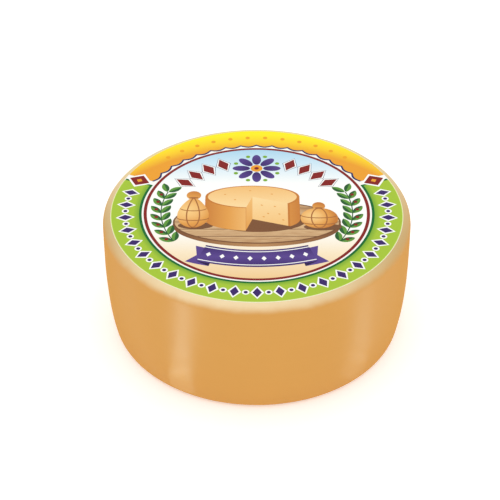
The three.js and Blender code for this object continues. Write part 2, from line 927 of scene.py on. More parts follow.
# ----------------------------------------------------------------------------------------------------------
# The press: cutting flat shapes and printing them on the film
# ----------------------------------------------------------------------------------------------------------


class Coat(IntEnum):
    """The order in which the inks lie on the film, from the film up."""

    GROUND = 1
    UNDER = 2
    BASE = 3
    SHADE = 4
    BODY = 5
    DETAIL = 6
    ACCENT = 7
    FRONT = 8
    TRIM = 9
    LIGHT = 10
    SPARK = 11


Layer = tuple[str, Point, Coat, Tint]  # a name, half the width and height, a coat and a tint
AnyInk = Ink | PlankInk


class Corners(IntEnum):
    """How many corners a cut disc has, by its size."""

    LOZENGE = 4
    SPECK = 12
    BERRY = 14
    DOT = 20
    PETAL = 24
    KNOB = 32
    SAUCER = 40
    PLATE = 80
    BOARD = 120
    GROUND = 180


@dataclass(frozen=True)
class Press:
    """Cuts flat shapes, measured in shares of the label's radius, and prints them on the film.

    Attributes:
        radius: the label's radius, in metres.
        film_top: the height of the bare film's face.
        coat_depth: how thick each coat of ink is.
    """

    radius: float
    film_top: float
    coat_depth: float
    least_steps: int = 2  # of an arc or a band
    leaf_steps: int = 8

    def at(self, place: Point) -> Vector:
        """A place on the film, in metres."""
        return Vector((place[0] * self.radius, place[1] * self.radius, self.film_top))

    def way(self, start: Point, end: Point) -> Vector:
        """The way from one place on the film to another, in metres."""
        return self.at(end) - self.at(start)

    def disc(self, name: str, centre: Point, points: int, across: float, along: float = 0.0) -> Piece:
        """Cuts a disc, an ellipse or, with four corners, a lozenge.

        Args:
            name: the shape's name.
            centre: its middle.
            points: how many corners it has.
            across: half its width.
            along: half its height, or 0 for a round one.

        Returns:
            The flat shape.
        """
        return add_disc(name, self.radius, points, self.at(centre), (across, along or across))

    def chain(self, name: str, places: Sequence[Point], closed: bool = False) -> Piece:
        """Draws a chain of straight edges from a single point, and may fill it.

        Args:
            name: the shape's name.
            places: the points that it runs through, in order.
            closed: whether the last point is joined to the first and the inside filled.

        Returns:
            The chain, or the filled shape.
        """
        clear_bench()
        bpy.ops.mesh.primitive_plane_add(size=self.radius, location=self.at(places[0]))
        piece = name_new(name)
        with editing(piece):
            bpy.ops.mesh.merge(type="CENTER")
            for start, end in zip(places, places[1:]):
                way = {"value": self.way(start, end)}
                bpy.ops.mesh.extrude_vertices_move(TRANSFORM_OT_translate=way)
            if closed:
                bpy.ops.mesh.select_all(action="SELECT")
                bpy.ops.mesh.edge_face_add()
        return piece

    def swing(self, piece: Piece, centre: Point, sweep: float, step: float = FINE) -> Piece:
        """Spins a point into an arc, or a chain of edges into a band.

        Args:
            piece: what is spun.
            centre: the point that it goes round.
            sweep: how far, in degrees, anticlockwise.
            step: how many degrees each edge or face takes.

        Returns:
            The same piece.
        """
        with editing(piece):
            bpy.ops.mesh.spin(  # a spin turns clockwise about +Z, so the axis points down
                steps=max(self.least_steps, round(sweep / step)),
                angle=math.radians(sweep),
                center=self.at(centre),
                axis=(0.0, 0.0, -1.0),
            )
            bpy.ops.mesh.select_all(action="SELECT")
            bpy.ops.mesh.remove_doubles(threshold=DOUBLES)
        return piece

    def band(
        self,
        name: str,
        radii: Sequence[float],
        angles: Point,
        centre: Point = MIDDLE,
        step: float = FINE,
    ) -> Piece:
        """Cuts a stretch of a ring.

        Args:
            name: the shape's name.
            radii: the radii of its rows of points, from the inner edge to the outer.
            angles: where it starts and ends, in degrees, anticlockwise from the right.
            centre: the ring's middle.
            step: how many degrees each face takes.

        Returns:
            The flat band.
        """
        start, end = angles
        edge = self.chain(name, [polar(centre, radius, start) for radius in radii])
        return self.swing(edge, centre, end - start, step)

    def arc(self, name: str, centre: Point, radius: float, angles: Point, step: float = COARSE) -> Piece:
        """Draws an open arc.

        Args:
            name: the shape's name.
            centre: its middle.
            radius: its radius.
            angles: where it starts and ends, in degrees, anticlockwise from the right.
            step: how many degrees each edge takes.

        Returns:
            The arc, a chain of edges.
        """
        start, end = angles
        return self.swing(self.chain(name, [polar(centre, radius, start)]), centre, end - start, step)

    def blade(self, name: str, length: float, width: float) -> Piece:
        """Cuts one half of a leaf, from its stalk at the label's middle to its tip on the right.

        Args:
            name: the shape's name.
            length: from the stalk to the tip.
            width: how far it bulges upwards.

        Returns:
            The flat half leaf.
        """
        radius = (length**2 / 4 + width**2) / (2 * width)
        centre = (length / 2, width - radius)
        half = math.degrees(math.asin(length / 2 / radius))
        piece = self.arc(name, centre, radius, about(QUARTER_TURN, half), step=2 * half / self.leaf_steps)
        with editing(piece):
            bpy.ops.mesh.edge_face_add()
        return piece

    def hoop(self, piece: Piece, width: float) -> Piece:
        """Leaves of a filled shape only a line along its edge.

        Args:
            piece: the shape, of one face.
            width: the line's width.

        Returns:
            The same piece.
        """
        with editing(piece):
            bpy.ops.mesh.inset(thickness=width * self.radius)
            bpy.ops.mesh.delete(type="ONLY_FACE")
        return piece

    def squeeze(self, piece: Piece, centre: Point, across: float, along: float) -> Piece:
        """Scales a shape about a point, to lay a round one down or turn one over.

        Args:
            piece: the shape.
            centre: the point that stays.
            across: the scale from left to right.
            along: the scale from the near side to the far one.

        Returns:
            The same piece.
        """
        with editing(piece):
            scale_about(self.at(centre), across, along)
        return piece

    def drop(self, piece: Piece, way: Point) -> Piece:
        """Sweeps a chain of edges straight over the film.

        Args:
            piece: the chain.
            way: how far and which way it is swept.

        Returns:
            The same piece.
        """
        with editing(piece):
            sweep = {"value": self.way(MIDDLE, way)}
            bpy.ops.mesh.extrude_edges_move(TRANSFORM_OT_translate=sweep)
        return piece

    def spread(self, piece: Piece, places: Sequence[Place]) -> Piece:
        """Copies a shape that was cut at the label's middle to each of its places, and joins the copies.

        Args:
            piece: the shape, which is used up.
            places: where each copy goes, and how far it is turned, in degrees.

        Returns:
            The joined copies.
        """
        name = piece.name
        copies = []
        for place, turn in places:
            copy = piece.copy()
            copy.data = piece.data.copy()
            bpy.context.scene.collection.objects.link(copy)
            copy.location = self.way(MIDDLE, place)
            copy.rotation_euler = (0.0, 0.0, math.radians(turn))
            copies.append(copy)
        bpy.data.objects.remove(piece)
        take_up(*copies)
        settle()
        return join(name, copies)

    def scatter(
        self, name: str, points: int, half: Point, places: Sequence[Place], out: float = 0.0
    ) -> Piece:
        """Cuts a small disc or lozenge, so far out from the middle, and copies it to each of its places."""
        return self.spread(self.disc(name, (out, 0.0), points, *half), places)

    def print(self, piece: Piece, coat: Coat, ink: AnyInk) -> None:
        """Gives a flat shape the depth of its coat, its ink and its place in the frame.

        Args:
            piece: the flat shape.
            coat: how high it lies.
            ink: what it is printed with.
        """
        with editing(piece):
            bpy.ops.mesh.normals_make_consistent(inside=False)
            raise_faces(coat * self.coat_depth)
        face_outwards(piece)
        known = bpy.data.materials.get(f"ink_{ink.name}")
        dress(piece, known or ink.material(self.radius, self.film_top))
        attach(piece, BODY)
        report(piece)

    def print_layers(self, points: int, layers: Sequence[Layer], places: Sequence[Place]) -> None:
        """Prints small discs or lozenges of several sizes on each other, at each of their places.

        Args:
            points: how many corners they have.
            layers: what is printed, from the film up.
            places: where they go, and how far they are turned, in degrees.
        """
        for name, half, coat, tint in layers:
            self.print(self.scatter(name, points, half, places), coat, flat(tint))


# ----------------------------------------------------------------------------------------------------------
# The label: its film, its border and the picture inside
# ----------------------------------------------------------------------------------------------------------


class Motif(Protocol):
    """One thing that is printed on the label."""

    def build(self, press: Press) -> None:
        """Prints the motif."""


@dataclass(frozen=True)
class Film:
    """The label's white film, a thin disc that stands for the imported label.

    Attributes:
        radius: the film's radius.
        foot: the height of the cheese's flat top, which it lies on.
        top: the height of its own face.
    """

    radius: float
    foot: float
    top: float
    edge_round: float = 0.00008
    edge_steps: int = 2
    sectors: int = 256

    def build(self) -> None:
        """Makes the film and puts it in the frame."""
        piece = add_disc("label_film", self.radius, self.sectors, (0.0, 0.0, self.foot))
        middle = (self.foot + self.top) / 2
        with editing(piece):
            raise_faces(self.top - self.foot)
            pick(piece, lambda place: place.z > middle)
            bpy.ops.mesh.bevel(offset=self.edge_round, segments=self.edge_steps, affect="EDGES")
        face_outwards(piece)
        dress(piece, FilmFinish().material())
        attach(piece, BODY)
        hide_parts("top_label")
        report(piece)


@dataclass(frozen=True)
class Sky:
    """The round ground of the picture, from blue over white to a warm ivory, inside a dark red ring."""

    radius: float = 0.765
    ring: Point = (0.752, 0.774)
    run: Point = (-1.0, 0.84)  # where the colours start near by and end at the far side

    def build(self, press: Press) -> None:
        """Prints the ground and its ring.

        Args:
            press: the press.
        """
        warm = (Tint.SAND, Tint.SAND, Tint.IVORY)
        tints = (*warm, Tint.WHITE, Tint.WHITE, Tint.WHITE, Tint.HAZE, Tint.SKY)
        ground = press.disc("label_sky", MIDDLE, Corners.GROUND, self.radius)
        press.print(ground, Coat.GROUND, Ink("sky", tints, Run.UPWARDS, *self.run))
        ring = press.band("label_ring", self.ring, (0.0, FULL_TURN))
        press.print(ring, Coat.UNDER, flat(Tint.DARK_RED))


@dataclass(frozen=True)
class GreenArc:
    """The lime arc round the near edge, with a dark keyline and a chain of purple lozenges and beads."""

    angles: Point = (158.0, 382.0)
    inner: float = 0.805
    outer: float = 0.993
    keyline: float = 0.018
    rim: float = 0.005
    run: float = 0.04  # how far out from its inner edge the green is deeper
    chain_margin: float = 8.0
    chain_step: float = 9.45
    lozenge: Point = (0.050, 0.030)
    bead: float = 0.014
    outline: float = 0.011

    def build(self, press: Press) -> None:
        """Prints the arc and its chain.

        Args:
            press: the press.
        """
        start, end = self.angles
        overlap = math.degrees(self.keyline)
        dark = (start - overlap, end + overlap)
        keyline = press.band("arc_keyline", (self.inner - self.keyline, self.outer), dark)
        press.print(keyline, Coat.GROUND, flat(Tint.FOREST))
        rim = press.band("arc_rim", (self.outer, self.outer + self.rim), self.angles)
        press.print(rim, Coat.GROUND, flat(Tint.PALE_LIME))
        lime = Ink("lime", (Tint.LEAF_LIME, Tint.LIME), Run.OUTWARDS, self.inner, self.inner + self.run)
        press.print(press.band("arc_green", (self.inner, self.outer), self.angles), Coat.UNDER, lime)

        lozenges = spaced(start + self.chain_margin, end - self.chain_margin, self.chain_step)
        self.links(press, "lozenge", Corners.LOZENGE, self.lozenge, lozenges)
        self.links(press, "bead", Corners.SPECK, (self.bead, self.bead), midway(lozenges))

    def links(self, press: Press, name: str, points: Corners, half: Point, turns: Sequence[float]) -> None:
        """Prints one kind of the chain's links, each on a white one that is a little larger.

        Args:
            press: the press.
            name: the links' name.
            points: how many corners each has.
            half: half their size outwards and along the arc.
            turns: where they are, in degrees.
        """
        edge = self.outline * (math.sqrt(2) if points is Corners.LOZENGE else 1.0)
        layers = (
            (f"{name}_edges", grown(half, edge), Coat.BASE, Tint.WHITE),
            (f"{name}s", half, Coat.SHADE, Tint.PURPLE),
        )
        press.print_layers(points, layers, ring_places(MIDDLE, (self.inner + self.outer) / 2, turns))


@dataclass(frozen=True)
class GoldArc:
    """The gold arc round the far edge, scalloped inside over a navy keyline."""

    angles: Point = (26.0, 154.0)
    inner: float = 0.818
    outer: float = 0.998
    scallops: int = 16
    scallop_steps: int = 8
    scallop_depth: float = 0.022
    keyline: float = 0.015
    glow_centre: Point = (0.0, -0.45)
    glow: Point = (1.22, 1.40)
    dot: float = 0.016
    dot_margin: float = 2.5  # from each end to the first dot, in scallops: there the gold is too dark

    @property
    def middle(self) -> float:
        """The radius halfway across the arc."""
        return (self.inner + self.outer) / 2

    @property
    def pitch(self) -> float:
        """How many degrees each scallop takes."""
        return (self.angles[1] - self.angles[0]) / self.scallops

    def build(self, press: Press) -> None:
        """Prints the keyline, the arc and a row of dots along its middle.

        Args:
            press: the press.
        """
        press.print(self.lace(press, "gold_keyline", self.keyline), Coat.GROUND, flat(Tint.NAVY))
        shine = Ink("gold", (Tint.ORANGE, Tint.GOLD, Tint.LEMON), Run.OUTWARDS, *self.glow, self.glow_centre)
        press.print(self.lace(press, "gold_arc", 0.0), Coat.UNDER, shine)
        start, end = self.angles
        margin = self.pitch * self.dot_margin
        places = ring_places(MIDDLE, self.middle, spaced(start + margin, end - margin, self.pitch))
        dots = press.scatter("gold_dots", Corners.DOT, (self.dot, self.dot), places)
        press.print(dots, Coat.BASE, flat(Tint.AMBER))

    def lace(self, press: Press, name: str, margin: float) -> Piece:
        """Cuts the arc with its scalloped inner edge.

        Args:
            press: the press.
            name: the shape's name.
            margin: how much further in it reaches than the gold.

        Returns:
            The flat arc.
        """
        inner = self.inner - margin
        piece = press.band(name, (inner, self.outer), self.angles, step=self.pitch / self.scallop_steps)
        reach = self.middle * press.radius
        near = 0.5 / self.scallop_steps  # half a step, in shares of a scallop
        with editing(piece):
            for step in range(1, self.scallop_steps):
                share = step / self.scallop_steps
                pick(piece, lambda place: place.xy.length < reach and abs(self.phase(place) - share) < near)
                size = 1 - self.scallop_depth * math.sin(math.pi * share) / inner
                scale_about(press.at(MIDDLE), size, size)
        return piece

    def phase(self, place: Vector) -> float:
        """How far a place is through its scallop, from 0 to 1."""
        turn = math.degrees(math.atan2(place.y, place.x)) - self.angles[0]
        return turn / self.pitch % 1.0


@dataclass(frozen=True)
class Diamonds:
    """The two dark red diamonds where the gold arc meets the green one."""

    angles: tuple[float, ...] = (24.0, 156.0)
    radius: float = 0.898
    half: Point = (0.076, 0.064)
    outline: float = 0.020
    heart: float = 0.022

    def build(self, press: Press) -> None:
        """Prints the diamonds.

        Args:
            press: the press.
        """
        layers = (
            ("diamond_edges", grown(self.half, self.outline), Coat.BASE, Tint.WHITE),
            ("diamonds", self.half, Coat.SHADE, Tint.DARK_RED),
            ("diamond_hearts", (self.heart, self.heart), Coat.BODY, Tint.GOLD),
        )
        press.print_layers(Corners.LOZENGE, layers, ring_places(MIDDLE, self.radius, self.angles))


@dataclass(frozen=True)
class RedLozenges:
    """Two rows of dark red lozenges in the sky, each with a white edge and a thin dark line round it."""

    radius: float = 0.605
    rows: tuple[Point, ...] = ((34.0, 67.0), (113.0, 146.0))
    step: float = 11.0
    half: Point = (0.074, 0.040)
    white: float = 0.012
    line: float = 0.0045

    def build(self, press: Press) -> None:
        """Prints the lozenges.

        Args:
            press: the press.
        """
        turns = [turn for start, end in self.rows for turn in spaced(start, end, self.step)]
        layers = (
            ("sky_lozenge_lines", grown(self.half, self.white + self.line), Coat.UNDER, Tint.NAVY),
            ("sky_lozenge_edges", grown(self.half, self.white), Coat.BASE, Tint.WHITE),
            ("sky_lozenges", self.half, Coat.SHADE, Tint.DARK_RED),
        )
        press.print_layers(Corners.LOZENGE, layers, ring_places(MIDDLE, self.radius, turns))


@dataclass(frozen=True)
class Rosette:
    """A purple rosette at the top of the sky, with an orange heart and a ring of lime dots."""

    centre: Point = (0.0, 0.515)
    petals: int = 8
    petal_reach: float = 0.108
    petal: Point = (0.062, 0.032)
    run: Point = (0.04, 0.17)  # where the petals' colour starts and ends, from the centre
    heart: float = 0.042
    pip: float = 0.016
    dots_reach: float = 0.158
    dot: float = 0.016

    def build(self, press: Press) -> None:
        """Prints the rosette.

        Args:
            press: the press.
        """
        turn = FULL_TURN / self.petals
        places = [(self.centre, turn * i) for i in range(self.petals)]
        between = [(self.centre, turn * (i + 0.5)) for i in range(self.petals)]
        bloom = Ink("bloom", (Tint.PURPLE, Tint.VIOLET), Run.OUTWARDS, *self.run, self.centre)
        petals = press.scatter("rosette_petals", Corners.PETAL, self.petal, places, out=self.petal_reach)
        press.print(petals, Coat.UNDER, bloom)
        dot = (self.dot, self.dot)
        dots = press.scatter("rosette_dots", Corners.SPECK, dot, between, out=self.dots_reach)
        press.print(dots, Coat.UNDER, flat(Tint.LIME))
        heart = press.disc("rosette_heart", self.centre, Corners.KNOB, self.heart)
        press.print(heart, Coat.BASE, flat(Tint.ORANGE))
        pip = press.disc("rosette_pip", self.centre, Corners.DOT, self.pip)
        press.print(pip, Coat.SHADE, flat(Tint.DARK_RED))


@dataclass(frozen=True)
class Board:
    """The round plank board that the pictured cheeses stand on."""

    centre: Point = (0.0, -0.13)
    across: float = 0.57
    along: float = 0.245
    thickness: float = 0.034
    rim: float = 0.012
    plank: float = 0.078
    seam: float = 0.0035  # half its width
    snug: float = 1.01  # how much further than that from its middle a seam's points are looked for
    run: Point = (-0.5, 0.5)  # where the edge's colours start and end, from left to right

    def build(self, press: Press) -> None:
        """Prints the board's edge and its lip, and then its planks with the seams between them.

        Args:
            press: the press.
        """
        x, y = self.centre
        edge = press.disc("board_edge", (x, y - self.thickness), Corners.BOARD, self.across, self.along)
        bark = Ink("board_edge", (Tint.BARK, Tint.OAK, Tint.BARK), Run.ACROSS, *self.run)
        press.print(edge, Coat.UNDER, bark)
        lip = press.disc("board_lip", self.centre, Corners.BOARD, self.across, self.along)
        press.print(lip, Coat.BASE, flat(Tint.WALNUT))
        inside = grown((self.across, self.along), -self.rim)
        planks = press.disc("board_planks", self.centre, Corners.BOARD, *inside)
        with editing(planks):
            for height in spaced(y - self.along, y + self.along, self.plank)[1:-1]:
                self.cut_seam(press, planks, height)
        press.print(planks, Coat.SHADE, PlankInk(self.plank))

    def cut_seam(self, press: Press, planks: Piece, height: float) -> None:
        """Cuts the gap between two planks.

        Args:
            press: the press.
            planks: the flat board, open in edit mode.
            height: where the gap is.
        """
        for side in about(height, self.seam):
            bpy.ops.mesh.select_all(action="SELECT")
            bpy.ops.mesh.bisect(plane_co=press.at((0.0, side)), plane_no=(0.0, 1.0, 0.0))
        middle = press.at((0.0, height)).y
        pick(planks, lambda place: abs(place.y - middle) < self.snug * self.seam * press.radius)
        bpy.ops.mesh.delete(type="FACE")


@dataclass(frozen=True)
class CutWheel:
    """The picture of a drum-shaped cheese with a piece cut out, from the front and a little above.

    Attributes:
        cut_eyes: the cut face's eyes, as shares of the way to the rim and of the way down.
        top_eyes: the top's eyes, as angles and shares of the way to the rim.
    """

    centre: Point = (-0.03, 0.165)  # the middle of its top
    across: float = 0.325
    along: float = 0.134
    height: float = 0.262
    gap: Point = (262.0, 322.0)  # where the piece is cut out, in degrees
    rind: float = 0.055
    skin_run: Point = (-0.36, 0.30)
    shadow: float = 0.04  # how far to the right it falls
    shadow_slope: float = 1 / 3  # how far down it falls, as a share of that
    shadow_run: Point = (-0.2, 0.3)
    eye: Point = (0.0085, 0.0050)
    eye_tilt: float = -30.0  # of the cut face's eyes, in degrees
    cut_eyes: tuple[Point, ...] = (
        (0.25, 0.30),
        (0.42, 0.62),
        (0.60, 0.25),
        (0.72, 0.55),
        (0.30, 0.80),
        (0.82, 0.78),
    )
    top_eyes: tuple[Point, ...] = ((95.0, 0.55), (160.0, 0.62), (30.0, 0.48), (215.0, 0.45))

    def rim(self, angle: float, share: float = 1.0) -> Point:
        """A point of the top, at an angle and a share of the way from its middle to its edge."""
        x, y = polar(MIDDLE, share, angle)
        return (self.centre[0] + self.across * x, self.centre[1] + self.along * y)

    def lay(self, press: Press, piece: Piece) -> Piece:
        """Squeezes a round shape about the top's middle into the way that the top is seen."""
        return press.squeeze(piece, self.centre, self.across, self.along)

    def fall(self, press: Press, chain: Piece) -> Piece:
        """Sweeps a chain of edges down by the cheese's height."""
        return press.drop(chain, (0.0, -self.height))

    def build(self, press: Press) -> None:
        """Prints the cheese.

        Args:
            press: the press.
        """
        opening, closing = self.gap
        x, y = self.centre
        foot = (x + self.shadow, y - self.height - self.shadow * self.shadow_slope)
        shadow = press.disc("wheel_shadow", foot, Corners.PLATE, self.across, self.along)
        press.print(shadow, Coat.BODY, Ink("shadow", (Tint.BARK, Tint.WALNUT), Run.ACROSS, *self.shadow_run))

        sides = []
        for angles in ((180.0, opening), (closing, FULL_TURN)):
            arc = press.arc("wheel_side", self.centre, 1.0, angles)
            sides.append(self.fall(press, self.lay(press, arc)))
        tints = (Tint.CRUST, Tint.HONEY, Tint.CURD, Tint.HONEY, Tint.CRUST)
        press.print(join("wheel_side", sides), Coat.DETAIL, Ink("skin", tints, Run.ACROSS, *self.skin_run))

        self.cut(press, "wheel_cut_shaded", opening, (Tint.HONEY, Tint.CURD))
        self.cut(press, "wheel_cut_lit", closing, (Tint.CURD, Tint.CREAM))

        span = (closing - FULL_TURN, opening)
        top = self.lay(press, press.band("wheel_top", (0.0, 1.0), span, self.centre, COARSE))
        pale = Ink("wheel_top", (Tint.CREAM, Tint.CURD), Run.UPWARDS, *about(y, self.along))
        press.print(top, Coat.ACCENT, pale)
        ring = press.band("wheel_top_rind", (1 - self.rind, 1.0), span, self.centre, COARSE)
        press.print(self.lay(press, ring), Coat.FRONT, flat(Tint.CRUST))
        self.eyes(press)

    def cut(self, press: Press, name: str, angle: float, tints: tuple[Tint, ...]) -> None:
        """Prints one of the two cut faces, with the rind's edge down its outer side.

        Args:
            press: the press.
            name: the face's name.
            angle: where it meets the rim.
            tints: its colours, from the foot up.
        """
        _, top = self.centre
        face = self.fall(press, press.chain(name, [self.centre, self.rim(angle)]))
        press.print(face, Coat.DETAIL, Ink(name, tints, Run.UPWARDS, top - self.height - self.along, top))
        edge = press.chain(f"{name}_rind", [self.rim(angle, 1 - self.rind), self.rim(angle)])
        press.print(self.fall(press, edge), Coat.ACCENT, flat(Tint.CRUST))

    def eyes(self, press: Press) -> None:
        """Prints the small eyes in the lit cut face and on the top.

        Args:
            press: the press.
        """
        places = []
        for share, depth in self.cut_eyes:
            x, y = self.rim(self.gap[1], share)
            places.append(((x, y - depth * self.height), self.eye_tilt))
        places += [(self.rim(angle, share), 0.0) for angle, share in self.top_eyes]
        eyes = press.scatter("wheel_eyes", Corners.SPECK, self.eye, places)
        press.print(eyes, Coat.FRONT, flat(Tint.HONEY))


@dataclass(frozen=True)
class TiedCheese:
    """The picture of a small smoked cheese tied with cord, with a knob above its neck.

    Attributes:
        name: what its pieces' names start with.
        centre: the middle of its body.
        across: half the body's width.
        along: half its height.
        knob: the knob's radius.
        taper: how much narrower it gets towards the neck, from 0 for a ball.
    """

    name: str
    centre: Point
    across: float
    along: float
    knob: float
    taper: float = 0.0
    knob_rise: float = 0.55  # how far the knob's middle is above the body, in shares of its radius
    facet: float = 8.0  # how many degrees each edge of the outline takes
    light: Point = (-0.35, 0.15)  # where it is palest, in shares of the body's half width and half height
    light_reach: float = 1.35  # how far the colours run from there, in shares of its half height
    shadow: Point = (0.02, 0.86)  # how far right it falls, and how low, in shares of the half height
    shadow_along: float = 0.04
    cord: float = 0.009
    loop: float = 0.45  # how wide the upright cord's loop is, as a share of the body
    belts: tuple[float, ...] = (0.30, -0.34)  # where the level cords are, in shares of the half height
    belt_span: Point = (182.0, 358.0)
    belt_sag: float = 0.03
    tie: float = 0.985  # where the neck's cord is, in shares of the half height
    tie_reach: float = 0.66  # half the neck cord's width, in shares of the knob's radius

    def half_width(self, height: float) -> float:
        """Half the body's width at a height from -1 to 1, before its outline is rounded."""
        return self.across * (1 - self.taper * ((1 + height) / 2) ** 2)

    def outline(self, width: float) -> list[Point]:
        """Draws the body's outline, or a narrower one that a cord follows.

        Args:
            width: its width, as a share of the body's.

        Returns:
            The points, anticlockwise.
        """
        points = []
        for turn in spaced(0.0, FULL_TURN, self.facet)[:-1]:
            x, y = polar(MIDDLE, 1.0, turn)
            points.append((self.centre[0] + width * self.half_width(y) * x, self.centre[1] + self.along * y))
        return points

    def build(self, press: Press) -> None:
        """Prints the cheese and its cord.

        Args:
            press: the press.
        """
        x, y = self.centre
        foot = (x + self.shadow[0], y - self.along * self.shadow[1])
        shadow = press.disc(f"{self.name}_shadow", foot, Corners.SAUCER, self.across, self.shadow_along)
        press.print(shadow, Coat.BODY, flat(Tint.WALNUT))

        palest = (x + self.light[0] * self.across, y + self.light[1] * self.along)
        tints = (Tint.BUTTER, Tint.CURD, Tint.HONEY, Tint.CRUST)
        reach = self.light_reach * self.along
        smoked = Ink(f"{self.name}_skin", tints, Run.OUTWARDS, 0.0, reach, palest)
        above = (x, y + self.along + self.knob * self.knob_rise)
        press.print(press.disc(f"{self.name}_knob", above, Corners.KNOB, self.knob), Coat.FRONT, smoked)
        press.print(press.chain(f"{self.name}_body", self.outline(1.0), closed=True), Coat.TRIM, smoked)

        twine = flat(Tint.TWINE)
        loop = press.chain(f"{self.name}_cord", self.outline(self.loop), closed=True)
        press.print(press.hoop(loop, self.cord), Coat.LIGHT, twine)
        belts = [self.belt(press, height) for height in self.belts]
        press.print(join(f"{self.name}_belts", belts), Coat.SPARK, twine)
        tie = (x, y + self.along * self.tie)
        neck = press.disc(f"{self.name}_neck", tie, Corners.PETAL, self.knob * self.tie_reach, self.cord)
        press.print(neck, Coat.SPARK, twine)

    def belt(self, press: Press, height: float) -> Piece:
        """Cuts one of the level cords, which sags a little at the front.

        Args:
            press: the press.
            height: where it is, in shares of the body's half height.

        Returns:
            The flat cord.
        """
        x, y = self.centre
        middle = (x, y + height * self.along)
        reach = self.half_width(height) * math.sqrt(1 - height**2)
        arc = press.arc("belt", middle, 1.0, self.belt_span)
        return press.drop(press.squeeze(arc, middle, reach, self.belt_sag), (0.0, -self.cord))


@dataclass(frozen=True)
class Sprig:
    """A leafy sprig that follows the ring on one side of the picture.

    Attributes:
        name: what its pieces' names start with.
        mirrored: whether it stands on the right instead of the left.
    """

    name: str
    mirrored: bool
    radius: float = 0.655
    angles: Point = (160.0, 212.0)
    stem: float = 0.008
    pairs: int = 7
    leaf: Point = (0.108, 0.025)
    splay: float = 36.0
    berry: float = 0.013
    berry_reach: float = 2.6  # how far out from the stem the berries are, in shares of their radius

    def build(self, press: Press) -> None:
        """Prints the stem, the two halves of each leaf, and the berries.

        Args:
            press: the press.
        """
        start, end = self.angles
        stem = press.band(f"{self.name}_stem", about(self.radius, self.stem / 2), self.angles)
        self.place(press, stem, Coat.UNDER, flat(Tint.MOSS))

        turns = spaced(start, end, (end - start) / self.pairs)
        roots = [root for turn in turns for root in self.pair(turn)]
        for half, side, tint in (("lit", 1.0, Tint.FRESH), ("shaded", -1.0, Tint.MOSS)):
            blade = press.squeeze(press.blade(f"{self.name}_{half}", *self.leaf), MIDDLE, 1.0, side)
            self.place(press, press.spread(blade, roots), Coat.BASE, flat(tint))

        reach = self.radius + self.berry_reach * self.berry
        places = [(polar(MIDDLE, reach, turn), 0.0) for turn in midway(turns)]
        berries = press.scatter(f"{self.name}_berries", Corners.BERRY, (self.berry, self.berry), places)
        self.place(press, berries, Coat.SHADE, flat(Tint.DARK_RED))

    def pair(self, turn: float) -> list[Place]:
        """Finds where a pair of leaves is rooted, one on each side of the stem.

        Args:
            turn: where the pair is, in degrees.

        Returns:
            The two roots, each with the way that its leaf points.
        """
        growth = turn - QUARTER_TURN  # the sprig grows upwards, against the turn
        return [
            (polar(MIDDLE, self.radius + way * self.stem / 2, turn), growth + way * self.splay)
            for way in (1.0, -1.0)
        ]

    def place(self, press: Press, piece: Piece, coat: Coat, ink: Ink) -> None:
        """Turns a shape over if the sprig is the mirrored one, and prints it.

        Args:
            press: the press.
            piece: the flat shape.
            coat: how high it lies.
            ink: its ink.
        """
        if self.mirrored:
            press.squeeze(piece, MIDDLE, -1.0, 1.0)
        press.print(piece, coat, ink)


